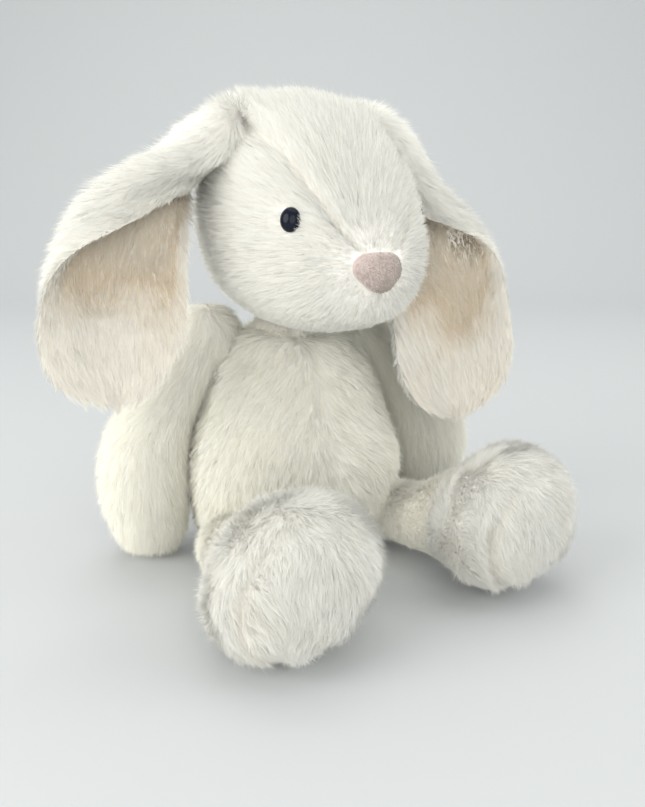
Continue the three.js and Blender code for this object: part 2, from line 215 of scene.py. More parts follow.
def mottled(name, dark, light, scale, bump, roughness=0.9, sheen=0.2):
    """Cloth with soft mottling and a fine woven or fibrous bump."""
    material, tree, shader = node_material(name, light, roughness, sheen=sheen, specular=0.15)
    nodes, links = tree.nodes, tree.links
    place = nodes.new("ShaderNodeTexCoord")
    cloud = nodes.new("ShaderNodeTexNoise")
    cloud.inputs["Scale"].default_value = scale
    cloud.inputs["Detail"].default_value = 6
    ramp = nodes.new("ShaderNodeValToRGB")
    ramp.color_ramp.elements[0].color = (*dark, 1)
    ramp.color_ramp.elements[0].position = 0.3
    ramp.color_ramp.elements[1].color = (*light, 1)
    ramp.color_ramp.elements[1].position = 0.7
    fibre = nodes.new("ShaderNodeTexNoise")
    fibre.inputs["Scale"].default_value = 1400
    fibre.inputs["Detail"].default_value = 3
    height = nodes.new("ShaderNodeBump")
    height.inputs["Strength"].default_value = bump
    height.inputs["Distance"].default_value = 0.0004
    rough = nodes.new("ShaderNodeMapRange")
    rough.inputs["To Min"].default_value = roughness - 0.08
    rough.inputs["To Max"].default_value = min(roughness + 0.08, 1)
    links.new(place.outputs["Object"], cloud.inputs["Vector"])
    links.new(place.outputs["Object"], fibre.inputs["Vector"])
    links.new(cloud.outputs["Fac"], ramp.inputs["Fac"])
    links.new(ramp.outputs["Color"], shader.inputs["Base Color"])
    links.new(fibre.outputs["Fac"], height.inputs["Height"])
    links.new(height.outputs["Normal"], shader.inputs["Normal"])
    links.new(cloud.outputs["Fac"], rough.inputs["Value"])
    links.new(rough.outputs["Result"], shader.inputs["Roughness"])
    return material


FUR = {
    "white": [
        fur_material("fur_white_tip", (0.9, 0.891, 0.833)),
        fur_material("fur_white_mid", (0.87, 0.856, 0.79)),
        fur_material("fur_white_warm", (0.84, 0.816, 0.736)),
        fur_material("fur_white_root", (0.84, 0.811, 0.731)),
    ],
    "cream": [
        fur_material("fur_cream_tip", (0.965, 0.952, 0.851)),
        fur_material("fur_cream_mid", (0.94, 0.913, 0.799)),
        fur_material("fur_cream_warm", (0.896, 0.861, 0.737)),
        fur_material("fur_cream_root", (0.906, 0.866, 0.747)),
    ],
    "beige": [
        fur_material("fur_beige_tip", (0.93, 0.882, 0.782)),
        fur_material("fur_beige_mid", (0.882, 0.796, 0.663)),
        fur_material("fur_beige_warm", (0.783, 0.656, 0.493)),
        fur_material("fur_beige_root", (0.816, 0.715, 0.57)),
    ],
    "pink": [
        fur_material("nose_pile_light", (0.51, 0.452, 0.402)),
        fur_material("nose_pile_mid", (0.475, 0.41, 0.362)),
        fur_material("nose_pile_deep", (0.43, 0.36, 0.314)),
        fur_material("nose_pile_root", (0.415, 0.347, 0.302)),
    ],
}
skin_cloth = mottled("plush_backing", (0.92, 0.875, 0.79), (0.955, 0.925, 0.87), 90, 0.5)
lining_cloth = mottled("ear_backing", (0.89, 0.82, 0.74), (0.93, 0.88, 0.81), 90, 0.5)
nose_cloth = mottled("nose_velour", (0.54, 0.43, 0.4), (0.64, 0.53, 0.5), 420, 0.8, sheen=0.5)
fibre_cloth = mottled("stuffing_fibre", (0.80, 0.80, 0.79), (0.93, 0.93, 0.92), 60, 0.6)
bean_cloth = mottled("bean_pouch_cloth", (0.62, 0.59, 0.53), (0.76, 0.73, 0.67), 150, 0.7)


# ------------------------------------------------------------------ meshes


def make_object(name, points, corners, starts, materials, slots=None, normals=None):
    """A mesh from points in millimetres, the corners of its faces, and where each face starts."""
    mesh = bpy.data.meshes.new(name)
    mesh.vertices.add(len(points))
    mesh.vertices.foreach_set("co", (points * MM).astype(np.float32).ravel())
    mesh.loops.add(len(corners))
    mesh.loops.foreach_set("vertex_index", corners.astype(np.int32))
    mesh.polygons.add(len(starts))
    mesh.polygons.foreach_set("loop_start", starts.astype(np.int32))
    for material in materials:
        mesh.materials.append(material)
    if slots is not None:
        mesh.polygons.foreach_set("material_index", slots.astype(np.int32))
    mesh.update(calc_edges=True)
    mesh.polygons.foreach_set("use_smooth", np.ones(len(starts), bool))
    if normals is not None:
        free = mesh.attributes.new("custom_normal", "FLOAT_VECTOR", "POINT")
        free.data.foreach_set("vector", normals.astype(np.float32).ravel())
    piece = bpy.data.objects.new(name, mesh)
    bpy.context.scene.collection.objects.link(piece)
    return piece


def skin(name, surface, body, nodes, material):
    """The padded cover itself: a closed mesh over the surface's grid."""
    around, along = surface.u.shape
    points = surface.points.reshape(-1, 3)
    tips = np.array([surface.points[:, 0].mean(0), surface.points[:, -1].mean(0)])
    points = np.vstack([points, tips])
    i, j = np.meshgrid(np.arange(around), np.arange(along - 1), indexing="ij")
    n = (i + 1) % around
    quads = np.stack([i * along + j, n * along + j, n * along + j + 1, i * along + j + 1], -1).reshape(-1, 4)
    ring = np.arange(around)
    first = np.stack([ring * along, np.full(around, len(points) - 2), (ring + 1) % around * along], -1)
    last = ring * along + along - 1
    last = np.stack([last, np.roll(last, -1), np.full(around, len(points) - 1)], -1)
    a, b, c = (points[quads[:, k]] for k in range(3))
    outward = surface.normals[:, :-1].reshape(-1, 3)
    if np.mean(np.sum(np.cross(b - a, c - a) * outward, 1)) < 0:
        quads, first, last = quads[:, ::-1], first[:, ::-1], last[:, ::-1]
    corners = np.concatenate([quads.ravel(), first.ravel(), last.ravel()])
    starts = np.concatenate(
        [np.arange(len(quads)) * 4, len(quads) * 4 + np.arange(2 * around) * 3]
    )
    piece = make_object(name, points, corners, starts, [material])
    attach(piece, body)
    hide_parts(*nodes)
    return piece


STRANDS_IN_A_PIECE = 60000
TINT_STEPS = (0.4, 0.66, 0.86)  # where the four tints of a family of fur change over


def clumps(roots, share):
    """For each strand, the strand in the middle of its clump."""
    middles = rng.choice(len(roots), max(1, int(len(roots) * share)), replace=False)
    tree = kdtree.KDTree(len(middles))
    for k, m in enumerate(middles):
        tree.insert(roots[m], k)
    tree.balance()
    return np.array([middles[tree.find(r)[1]] for r in roots])


def grow(name, body, roots, normals, flow, length, tints,
         lean=66, width=0.34, share=0.2, pull=0.34, ruffle=0.14, tone=None, strays=0.05, cast=0.2, vary=1.0,
         rough=0.1, facing=0.0):
    """Strands of pile: each a slender three-sided spike that leans along the flow and gathers into clumps.

    Light passes through white pile, so only a share of the strands, cast, throws shadows on the others.
    Each strand is shaded as the cover under it faces, with a little scatter, and facing adds to that."""
    count = len(roots)
    middle = clumps(roots, share)
    loose = rng.normal(size=(count, 3))
    shared = rng.normal(size=(count, 3))[middle]
    flow = unit(flat_on(unit(flow), normals))
    flow = unit(flat_on(flow + ruffle * (0.55 * loose + shared), normals))
    tall = length * (1 + 0.08 * rng.normal(size=count)[middle] + 0.12 * rng.normal(size=count))
    pressed = 1 - 0.6 * smooth(-normals[:, 2], 0.45, 0.85)  # the pile is flattened underneath
    tall = (np.clip(tall, 0.5 * length, 1.3 * length) * pressed)[:, None]
    stray = rng.random(count) < strays
    angle = lean + 3 * rng.normal(size=count)[middle] + 6 * rng.normal(size=count) - 22 * stray
    angle = np.radians(np.clip(angle, 5, 84))[:, None]
    base = roots - 0.4 * normals
    tip = base + (normals * np.cos(angle) + flow * np.sin(angle)) * tall
    tip = tip + (tip[middle] - tip) * pull * rng.uniform(0.4, 1.0, (count, 1)) * ~stray[:, None]
    tip[:, 2] = np.maximum(tip[:, 2], 0.3)
    base[:, 2] = np.maximum(base[:, 2], 0.5)
    way = unit(tip - base)
    side = unit(np.cross(way, normals))
    over = np.cross(side, way)
    half = 0.5 * width * rng.uniform(0.75, 1.25, (count, 1)) * (1 - 0.4 * stray[:, None])
    spike = np.stack([base + half * over, base - half * (0.87 * side + 0.5 * over),
                      base + half * (0.87 * side - 0.5 * over), tip], 1)
    scatter = rough * (loose + 0.8 * shared)
    shade = unit(normals + 0.2 * Z + scatter + facing)  # white pile scatters light evenly
    shades = np.repeat(shade[:, None], 4, 1)
    order = np.array([1, 0, 3, 0, 2, 3, 2, 1, 3])  # its three sides; the open base is inside the cover
    mix = 0.5 + vary * (rng.random(count) * 0.55 + rng.random(count)[middle] * 0.45 - 0.5)
    # tone moves strands towards the darker, warmer tints of their family; the callers use it for painted
    # shade in seams, creases, dimples and the ear's hollow, and for colour that varies
    if tone is not None:
        mix = np.clip(mix + tone, 0, 1)
    slots = np.digitize(mix, TINT_STEPS)
    dark = np.arange(int(count * cast))  # the strands come in random order
    pale = np.arange(int(count * cast), count)
    groups = []
    for part in (dark, pale):
        groups += np.array_split(part, max(1, math.ceil(len(part) / STRANDS_IN_A_PIECE)))
    for g, mine in enumerate(group for group in groups if len(group)):
        piece = make_object(
            f"{name}_{g + 1}",
            spike[mine].reshape(-1, 3),
            (order[None] + 4 * np.arange(len(mine))[:, None]).ravel(),
            np.arange(3 * len(mine)) * 3,
            FUR[tints],
            np.repeat(slots[mine], 3),
            shades[mine].reshape(-1, 3),
        )
        piece.visible_shadow = bool(mine[0] < len(dark))
        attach(piece, body)


def lit_front(normals):
    """The pile on the front turns its shading a little more to the front."""
    return -0.4 * Y * smooth(-normals[:, 1:2], -0.3, 0.3)


def part_from(line_side, line_forward, reach):
    """How strongly a seam parts the fur beside it: -1 to 1 across the seam, fading with distance."""
    return np.tanh(line_side / 1.2) * np.exp(-((line_side / reach) ** 2)) * line_forward


# ------------------------------------------------------------------ head

HEAD_TURN = 10
HEAD_CENTRE = np.array([0.0, -17.0, 160.0])
head_along = about(Y, Z, HEAD_TURN)
head_across = about(X, Z, HEAD_TURN)
head_w, head_h = 43.5, 49.5
NOSE_POINT = HEAD_CENTRE + SHIFT - 57.5 * head_along - 1.5 * head_across - 21 * Z
GUSSET = (0.125, 0.375)  # where the seams on either side of the forehead run
HEAD_ROUND = 270  # the length round the head, across the face


def gap_round(u, middle):
    """Signed distance round a form from a line, as a share of the whole turn."""
    return (u - middle + 0.5) % 1 - 0.5


def head_dent(u, v, p):
    depth = np.full_like(u, 0.2)
    for line in GUSSET:
        seam = bell(gap_round(u, line) * HEAD_ROUND, 0, 3.0)
        depth += 2.2 * seam * smooth(v, 0.03, 0.14) * smooth(v, 0.85, 0.6)
    depth += 0.9 * bell(gap_round(u, 0.75) * HEAD_ROUND, 0, 3.5) * smooth(v, 0.0, 0.08)
    for side in ("right", "left"):  # the head swells to meet the root of each ear, at its hinge
        reach = np.linalg.norm(p - (hinges[f"ear_{side}_lift"] - SHIFT), axis=-1)
        depth -= 8.0 * np.exp(-(reach**2 - reach.min() ** 2) / 12**2)
    return depth


head = Surface(
    form(
        HEAD_CENTRE, head_along, head_across, Z,
        [
            [-56.5, 0, -21, 0, 0],
            [-52, 0, -20, 0.42 * head_w, 0.34 * head_h],
            [-43, 0, -14, 0.7 * head_w, 0.61 * head_h],
            [-25, 0, -5, 0.92 * head_w, 0.88 * head_h],
            [-4, 0, -0.5, head_w, head_h],
            [16, 0, 0, 0.97 * head_w, 0.96 * head_h],
            [32, 0, 0, 0.7 * head_w, 0.7 * head_h],
            [41, 0, 0, 0, 0],
        ],
    ),
    around=160, along=120, dent=head_dent,
)


EYE_DROP = 2.4  # how much lower the eyes sit in the stuffed cover than in the CAD model
EYE_BACK = {"right": 0, "left": 9.0}  # and how much further back
EYE_KEEP = (2.9, 4.4)  # half the width and half the height of the gap in the pile round an eye


def eye_place(side):
    """The point of the cover where an eye sits, and the direction that it faces."""
    low, high = (np.array(c) * 1000 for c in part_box(f"eye_{side}"))
    middle = 0.5 * (low + high)
    middle = middle - EYE_DROP * Z + EYE_BACK[side] * head_along
    flat = head.points.reshape(-1, 3)
    k = np.argmin(np.linalg.norm(flat - middle, axis=1))
    return flat[k], head.normals.reshape(-1, 3)[k]


def build_head():
    skin("head_cover", head, "head", ["head_right_panel", "head_left_panel", "head_gusset"], skin_cloth)
    roots, normals, along, u, v = head.sample(120000)
    away = roots - NOSE_POINT
    flow = unit(flat_on(away, normals)) + 0.25 * unit(flat_on(-Z, normals)) * smooth(roots[:, 2:], 190, 150)
    size = 7.8 + 0.7 * waves(roots, 22, 3)
    near = np.linalg.norm(away, axis=1)
    tone = np.zeros(len(roots))
    size *= 0.4 + 0.6 * smooth(near, 11, 30)
    for line in GUSSET:
        side = gap_round(u, line) * HEAD_ROUND
        strength = smooth(v, 0.05, 0.16) * smooth(v, 0.8, 0.5)
        across = unit(flat_on(np.cross(along, normals), normals)) * -1
        flow = flow + 0.45 * part_from(side, strength, 7)[:, None] * across
        size *= 1 - 0.28 * bell(side, 0, 2.4) * strength
        # painted shade: the strands along each seam of the forehead take darker, warmer tints, for the shade
        # in the seam's crease
        tone += 0.3 * bell(side, 0, 2.2) * smooth(v, 0.05, 0.12) * smooth(v, 0.55, 0.3)
    keep = np.ones(len(roots), bool)
    offset = roots - NOSE_POINT
    right, up = offset @ head_across, offset @ Z
    keep &= ~((np.abs(right) < 10.8 - 0.75 * np.maximum(-up, 0)) & (up > -7.2) & (up < 7.4) & (near < 16))
    for eye in ("right", "left"):
        place, _ = eye_place(eye)
        gap = np.linalg.norm(roots - place, axis=1)
        lift = (roots - place) @ Z
        sideways = np.sqrt(np.maximum(gap**2 - lift**2, 0))
        keep &= np.hypot(sideways / EYE_KEEP[0], lift / EYE_KEEP[1]) > 1
        size = size * (0.5 + 0.5 * smooth(gap, 4, 12))
    roots, normals, flow, size, tone = (values[keep] for values in (roots, normals, flow, size, tone))
    chin = smooth(-normals[:, 2:], 0.0, 0.7)
    grow("fur_head", "head", roots, normals, flow, size, "white",
         lean=66, width=0.31, share=0.22, pull=0.28, ruffle=0.12, tone=tone, cast=0.26, rough=0.16,
         facing=(0.3 * Z - 0.5 * Y) * chin)


def build_eye(side):
    """A polished dome on a shank, set into the cover."""
    place, out = eye_place(side)
    radius, dome = 4.9, 3.0
    rows, around = 18, 48
    profile = [(1.5, -6.0), (1.5, 0.2), (0.86 * radius, 0.2)]
    for k in range(rows + 1):
        angle = k / rows * math.pi / 2
        profile.append((radius * math.cos(angle), 0.9 + dome * math.sin(angle)))
    first = unit(np.cross(out, Z))
    second = np.cross(out, first)
    points = []
    for r, h in profile[:-1]:
        for k in range(around):
            a = 2 * math.pi * k / around
            points.append(place + out * h + r * (0.84 * first * math.cos(a) + second * math.sin(a)))
    points.append(place + out * profile[-1][1])
    points.append(place + out * profile[0][1])
    top, bottom = len(points) - 2, len(points) - 1
    corners, starts = [], []
    for row in range(len(profile) - 2):
        for k in range(around):
            n = (k + 1) % around
            starts.append(len(corners))
            corners += [row * around + k, row * around + n, (row + 1) * around + n, (row + 1) * around + k]
    last = (len(profile) - 2) * around
    for k in range(around):
        n = (k + 1) % around
        starts.append(len(corners))
        corners += [last + k, last + n, top]
        starts.append(len(corners))
        corners += [n, k, bottom]
    name = f"eye_{side}_gloss"
    material, tree, shader = node_material(name, (0.006, 0.009, 0.018), 0.1, coat=0.04, specular=0.16)
    shader.inputs["Coat Roughness"].default_value = 0.03
    nodes, links = tree.nodes, tree.links
    spot = nodes.new("ShaderNodeTexNoise")
    spot.inputs["Scale"].default_value = 260
    span = nodes.new("ShaderNodeMapRange")
    span.inputs["To Min"].default_value = 0.04
    span.inputs["To Max"].default_value = 0.12
    links.new(spot.outputs["Fac"], span.inputs["Value"])
    links.new(span.outputs["Result"], shader.inputs["Roughness"])
    name = f"eye_dome_{side}"
    piece = make_object(name, np.array(points), np.array(corners), np.array(starts), [material])
    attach(piece, "head")
    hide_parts(f"eye_{side}")


def build_nose():
    """A padded shield of velour: straight across the top, narrowing to a round point below."""
    wide, tall, rise = 12.0, 7.9, 2.6
    squareness, fall_away = 3.2, 52
    outline = []
    for k in range(72):
        a = 2 * math.pi * k / 72
        c, s = math.cos(a), math.sin(a)
        r = 1 / (abs(c) ** squareness + abs(s) ** squareness) ** (1 / squareness)
        x, y = r * c, r * s
        taper = 1 - 0.5 * smooth(-y, -0.15, 1.05)
        outline.append((wide * x * taper, tall * y))
    outline = np.array(outline)
    rings = 16
    lean = math.radians(12)
    outwards = unit(-head_along * math.cos(lean) + Z * math.sin(lean) * 0.4)
    upwards = unit(Z - np.dot(Z, outwards) * outwards)
    centre = HEAD_CENTRE + SHIFT - 56.6 * head_along - 1.5 * head_across - 21 * Z
    points = []
    for k in range(rings + 1):
        share = math.sin(0.5 * math.pi * k / rings)
        lift = rise * math.sqrt(max(1 - share**2.4, 0))
        for x, y in outline * share:
            bend = (x * x + y * y) / fall_away
            points.append(centre + head_across * x + upwards * y + outwards * (lift - bend))
    points = np.array(points)
    around = len(outline)
    back = centre - 2.2 * outwards
    points = np.vstack([points, back])
    corners, starts = [], []
    for row in range(rings):
        for k in range(around):
            n = (k + 1) % around
            starts.append(len(corners))
            if row == 0:
                corners += [k, around + k, around + n]
            else:
                this, below = row * around, (row + 1) * around
                corners += [this + k, below + k, below + n, this + n]
    for k in range(around):
        starts.append(len(corners))
        corners += [rings * around + (k + 1) % around, rings * around + k, len(points) - 1]
    piece = make_object("nose_pad", points, np.array(corners), np.array(starts), [nose_cloth])
    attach(piece, "head")
    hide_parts("nose")
    count = 9000
    share = np.sqrt(rng.random(count)) * 0.98
    angle = rng.random(count)
    edge = outline[(angle * around).astype(int) % around]
    nextedge = outline[((angle * around).astype(int) + 1) % around]
    part = (angle * around % 1)[:, None]
    xy = (edge * (1 - part) + nextedge * part) * share[:, None]
    lift = rise * np.sqrt(1 - share**2.4)
    bend = (xy**2).sum(1) / fall_away
    roots = centre + xy[:, :1] * head_across + xy[:, 1:] * upwards + (lift - bend)[:, None] * outwards
    tilt = outwards + 0.5 * (xy[:, :1] / wide * head_across + xy[:, 1:] / tall * upwards)
    normals = unit(np.broadcast_to(tilt, roots.shape))
    flow = np.broadcast_to(-upwards + 0.3 * head_across, roots.shape)
    grow("nose_pile", "head", roots, normals, flow, np.full(count, 1.0), "pink",
         lean=45, width=0.24, share=0.2, pull=0.2, ruffle=0.6)


# ------------------------------------------------------------------ torso, neck and tail

TORSO_ROUND = 290  # the length round the torso


def torso_dent(u, v, p):
    front = 0.6 * bell(gap_round(u, 0.75) * TORSO_ROUND, 0, 3.0) * smooth(v, 0.2, 0.4)
    left, right = (bell(gap_round(u, line) * TORSO_ROUND, 0, 3.0) for line in (0.0, 0.5))
    sides = 0.8 * (left + right)
    rumple = 0.9 * waves(p.reshape(-1, 3), 26, 5).reshape(u.shape)
    return front + sides + rumple * smooth(v, 0.1, 0.25)


torso_w, torso_d, torso_h = 48, 43, 103
torso = Surface(
    form(
        np.zeros(3), Z, X, Y,
        [
            [3, 0, 0, 0, 0],
            [4.5, 0, 0, 0.6 * torso_w, 0.6 * torso_d],
            [0.1 * torso_h, 0, 0, 0.87 * torso_w, 0.86 * torso_d],
            [0.25 * torso_h, 0, -1, 0.98 * torso_w, 0.98 * torso_d],
            [0.46 * torso_h, 0, -3, torso_w, torso_d],
            [0.68 * torso_h, 0, 0, 0.88 * torso_w, 0.87 * torso_d],
            [0.86 * torso_h, 0, 1, 0.74 * torso_w, 0.72 * torso_d],
            [0.96 * torso_h, 0, 1, 0.61 * torso_w, 0.6 * torso_d],
            [1.03 * torso_h, 0, 1, 0.44 * torso_w, 0.44 * torso_d],
            [torso_h + 6, 0, 1, 0, 0],
        ],
    ),
    around=160, along=110, dent=torso_dent,
)


def build_torso():
    skin("torso_cover", torso, "torso",
         ["torso_front_right_panel", "torso_front_left_panel", "torso_back_panel"], skin_cloth)
    roots, normals, along, u, v = torso.sample(116000)
    side = gap_round(u, 0.75) * TORSO_ROUND
    front = bell(gap_round(u, 0.75), 0, 0.17)
    outward = np.sign(roots[:, :1] - SHIFT[0]) * X
    flow = -Z + 0.55 * front[:, None] * outward * np.tanh(np.abs(side) / 6)[:, None]
    flow = flow + 0.35 * waves(roots, 34, 8)[:, None] * X
    size = (8.2 + 0.8 * waves(roots, 18, 9)) * (1 - 0.2 * smooth(v, 0.88, 0.97))
    size *= 1 - 0.15 * bell(side, 0, 2.4) * smooth(v, 0.2, 0.4)
    grow("fur_torso", "torso", roots, normals, flow, size, "cream", lean=66,
         width=0.33, share=0.14, pull=0.45, ruffle=0.17, cast=0.3, rough=0.26,
         facing=lit_front(normals))


def build_seat():
    """The flat panel that the toy sits on, with its rolled edge."""
    around, rings = 72, 14
    outline = []
    for k in range(around):
        a = 2 * math.pi * k / around
        outline.append((33 * math.cos(a), 28 * math.sin(a)))
    outline = np.array(outline)
    points = []
    for k in range(rings + 1):
        share = 1 - (1 - k / rings) ** 1.5 if k else 0.001
        for x, y in outline * share:
            points.append((x, y, 0.05))
    for level, share in ((0.5, 1.006), (1.4, 1.008), (2.0, 0.99), (2.35, 0.96)):
        for x, y in outline * share:
            points.append((x, y, level))
    points = np.array(points + [(0, 0, 2.4)]) + SHIFT
    total = rings + 4
    corners, starts = [], []
    for row in range(total):
        for k in range(around):
            n = (k + 1) % around
            starts.append(len(corners))
            corners += [row * around + n, (row + 1) * around + n, (row + 1) * around + k, row * around + k]
    for k in range(around):
        starts.append(len(corners))
        corners += [total * around + (k + 1) % around, len(points) - 1, total * around + k]
    starts.append(len(corners))
    corners += list(range(around))
    piece = make_object("seat_cover", points, np.array(corners), np.array(starts), [skin_cloth])
    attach(piece, "torso")
    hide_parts("seat_panel")


def lump(centre, across, tall, depth):
    """A plain rounded form about the vertical."""
    return form(
        centre, Z, X, Y,
        [
            [-tall, 0, 0, 0, 0],
            [-0.92 * tall, 0, 0, 0.4 * across, 0.4 * depth],
            [-0.6 * tall, 0, 0, 0.8 * across, 0.8 * depth],
            [0, 0, 0, across, depth],
            [0.6 * tall, 0, 0, 0.8 * across, 0.8 * depth],
            [0.92 * tall, 0, 0, 0.4 * across, 0.4 * depth],
            [tall, 0, 0, 0, 0],
        ],
    )


def build_joins():
    """Short furred sleeves of cover at the neck and at each shoulder, where the sewn parts meet."""
    neck = Surface(lump(NECK + Y * 2, 18, 9, 17), 72, 40)
    skin("neck_join", neck, "neck", ["neck_stuffing"], skin_cloth)
    roots, normals, along, u, v = neck.sample(5000)
    flow = -Z + 0.5 * unit(normals * (X + Y))
    grow("fur_neck", "neck", roots, normals, flow, np.full(len(roots), 5.0), "cream")
    for side, mirror in (("right", -1), ("left", 1)):
        pivot = hinges[f"arm_{side}_spread"] - SHIFT
        bump = Surface(lump(pivot + np.array([-mirror * 4.5, 0, -6.0]), 11.0, 12, 11.5), 56, 40)
        name = f"shoulder_{side}_join"
        skin(name, bump, f"shoulder_{side}", [f"arm_{side}_shoulder_stuffing"], skin_cloth)
        roots, normals, along, u, v = bump.sample(5200)
        flow = np.broadcast_to(-Z + 0.5 * mirror * X, roots.shape)
        grow(f"fur_shoulder_{side}", f"shoulder_{side}", roots, normals, flow, np.full(len(roots), 6.5),
             "cream")


def build_tail():
    low, high = (np.array(c) * 1000 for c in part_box("tail_cover"))
    middle = 0.5 * (low + high) - SHIFT
    tail = Surface(lump(middle, 14, 14, 13), 72, 48)
    skin("tail_pad", tail, "torso", ["tail_cover"], skin_cloth)
    roots, normals, along, u, v = tail.sample(11000)
    flow = np.broadcast_to(-Z + 0.4 * Y, roots.shape)
    grow("fur_tail", "torso", roots, normals, flow, np.full(len(roots), 9.5), "cream",
         lean=52, share=0.09, pull=0.6, ruffle=0.35)


# ------------------------------------------------------------------ arms

ARM_SPLAY = {"right": 0, "left": 13}
ARM_ROUND = 110  # the length round an arm


def build_arm(side):
    mirror = -1 if side == "right" else 1
    w = 19
    pivot = hinges[f"arm_{side}_spread"] - SHIFT
    turn = -mirror * ARM_SPLAY[side]
    origin = about(-pivot, Y, turn) + pivot
    shape = form(
        origin, about(Z, Y, turn), about(X * mirror, Y, turn), Y,
        [
            [120, 37.5, 9, 0, 0],
            [116, 37.5, 9, 7.5, 8],
            [107, 38.5, 9, 11.2, 12.5],
            [86, 52, 11, 0.74 * w, 0.76 * w],
            [62, 66, 13, 0.95 * w, 0.88 * w],
            [38, 70, 14, w, 0.92 * w],
            [16, 68, 14, 0.86 * w, 0.84 * w],
            [4.5, 67, 14, 0.5 * w, 0.5 * w],
            [1.2, 67, 14, 0, 0],
        ],
    )

    def dent(u, v, p):
        front, back = (bell(gap_round(u, line) * ARM_ROUND, 0, 2.2) for line in (0.25, 0.75))
        seam = 0.45 * (front + back)
        return seam + 0.6 * waves(p.reshape(-1, 3), 24, 21).reshape(u.shape) + 0.3

    arm = Surface(shape, 96, 96, dent)
    panels = [f"arm_{side}_outer_panel", f"arm_{side}_inner_panel"]
    skin(f"arm_{side}_cover", arm, f"arm_{side}", panels, skin_cloth)
    roots, normals, along, u, v = arm.sample(42000)
    flow = along + 0.22 * waves(roots, 26, 22)[:, None] * X
    size = 8.2 + 0.8 * waves(roots, 18, 23)
    grow(f"fur_arm_{side}", f"arm_{side}", roots, normals, flow, size, "cream", lean=67,
         width=0.33, share=0.17, pull=0.34, ruffle=0.13, cast=0.12,
         facing=lit_front(normals))


# ------------------------------------------------------------------ legs and feet

LEG_SPLAY = {"right": 3, "left": 14}
LEG_LENGTH = {"right": 101, "left": 92}
FOOT_INSET = {"right": 1.3, "left": 2.6}
SOLE_SEAM = 0.2  # where the sole meets the upper, along the leg from the toes
SOLE_CREASE = 0.52  # the side of the foot where that seam sinks in most
LEG_RUN = 110  # the length along a leg


def build_leg(side):
    mirror = -1 if side == "right" else 1
    hip = hinges[f"leg_{side}_splay"] - SHIFT
    r, l, w, h = 12, LEG_LENGTH[side], 31, 31
    rise = h + 1 - hip[2]
    forward = about(-Y, Z, mirror * LEG_SPLAY[side])
    across = about(X, Z, mirror * LEG_SPLAY[side])
    shape = form(
        hip, forward, across, Z + 0.17 * across,
        [
            [l, 0, rise, 0, 0],
            [0.965 * l, 0, rise, 0.58 * w, 0.58 * h],
            [0.87 * l, 0, rise, 0.9 * w, 0.9 * h],
            [0.74 * l, 0, rise, w, h],
            [0.6 * l, 0, 0.93 * rise, 0.88 * w, 0.91 * h],
            [0.42 * l, 0, 0.59 * rise, 0.65 * w, 0.66 * h],
            [0.2 * l, 0, 0.15 * rise, 1.12 * r, 1.16 * r],
            [0, 0, 0, r, r],
            [-0.75 * r, 0, 0, 0.62 * r, 0.62 * r],
            [-r, 0, 0, 0, 0],
        ],
    )

    def dent(u, v, p):
        sunk = 0.25 + 0.75 * bell(gap_round(u, SOLE_CREASE), 0, 0.15)
        sole = 2.3 * bell((v - SOLE_SEAM) * LEG_RUN, 0, 3.4) * sunk
        rumple = waves(p.reshape(-1, 3), 24, 31).reshape(u.shape)
        return sole + rumple + FOOT_INSET[side] * smooth(v, 0.7, 0.5)

    leg = Surface(shape, 128, 120, dent)
    covers = [f"foot_{side}_sole", f"foot_{side}_upper", f"leg_{side}_cover"]
    skin(f"leg_{side}_plush", leg, f"leg_{side}", covers, skin_cloth)
    roots, normals, along, u, v = leg.sample(90000)
    foot = smooth(v, 0.62, 0.5)[:, None]
    spread = (roots - hip - SHIFT) @ across / w
    on_foot = 0.85 * forward - 0.55 * Z + 0.3 * spread[:, None] * across
    flow = on_foot * foot - (0.9 * along + 0.3 * Z) * (1 - foot)
    # behind the top of the foot the pile comes up over it, and takes light from in front
    backwards = -normals @ forward
    behind = smooth(backwards, -0.4, 0.1)[:, None] * foot
    flow = flow * (1 - behind) + (0.3 * Z - along) * behind
    facing = smooth(backwards, -0.3, 0.4)[:, None] * (1.1 * forward + 0.5 * Z) + 0.15 * forward
    swirl = 0.5 * waves(roots, 16, 32) + 0.35 * waves(roots, 7, 35)
    flow = unit(flat_on(flow, normals)) + swirl[:, None] * unit(np.cross(normals, flow))
    crease = bell((v - SOLE_SEAM) * LEG_RUN, 0, 3.0) * bell(gap_round(u, SOLE_CREASE), 0, 0.15)
    size = (7.8 + 0.8 * waves(roots, 16, 33)) * (1 - 0.4 * crease)
    # colour that varies at random, and painted shade: the strands in the crease of the sole seam take
    # darker, warmer tints, for the shade in the crease
    tone = -0.05 + 0.2 * waves(roots, 10, 36) + 0.75 * crease
    k = foot[:, 0] > 0.5
    grow(f"fur_foot_{side}", f"leg_{side}", roots[k], normals[k], flow[k], size[k], "white", lean=64,
         width=0.31, share=0.16, pull=0.34, ruffle=0.18, tone=tone[k], strays=0.06, cast=0.3, rough=0.2,
         facing=facing[k])
    k = ~k
    size = 6.0 + 0.7 * waves(roots, 12, 34)
    grow(f"fur_leg_{side}", f"leg_{side}", roots[k], normals[k], flow[k], size[k], "cream", lean=62,
         width=0.31, share=0.16, pull=0.34, ruffle=0.2, cast=0.12, rough=0.16,
         facing=facing[k])


# ------------------------------------------------------------------ ears

EAR_ROUTES = {
    "right": [[-31, -14, 204.5], [-59, -15, 180], [-79, -19, 148], [-90, -25, 114], [-89, -32, 87]],
    "left": [[35, -16, 204], [56, -18, 183], [68, -24, 149], [74, -31, 108], [77, -34, 66]],
}


# where along an ear the leaf turns from sideways to face forwards
EAR_TURNS = {"right": (0.02, 0.5), "left": (0.06, 0.62)}
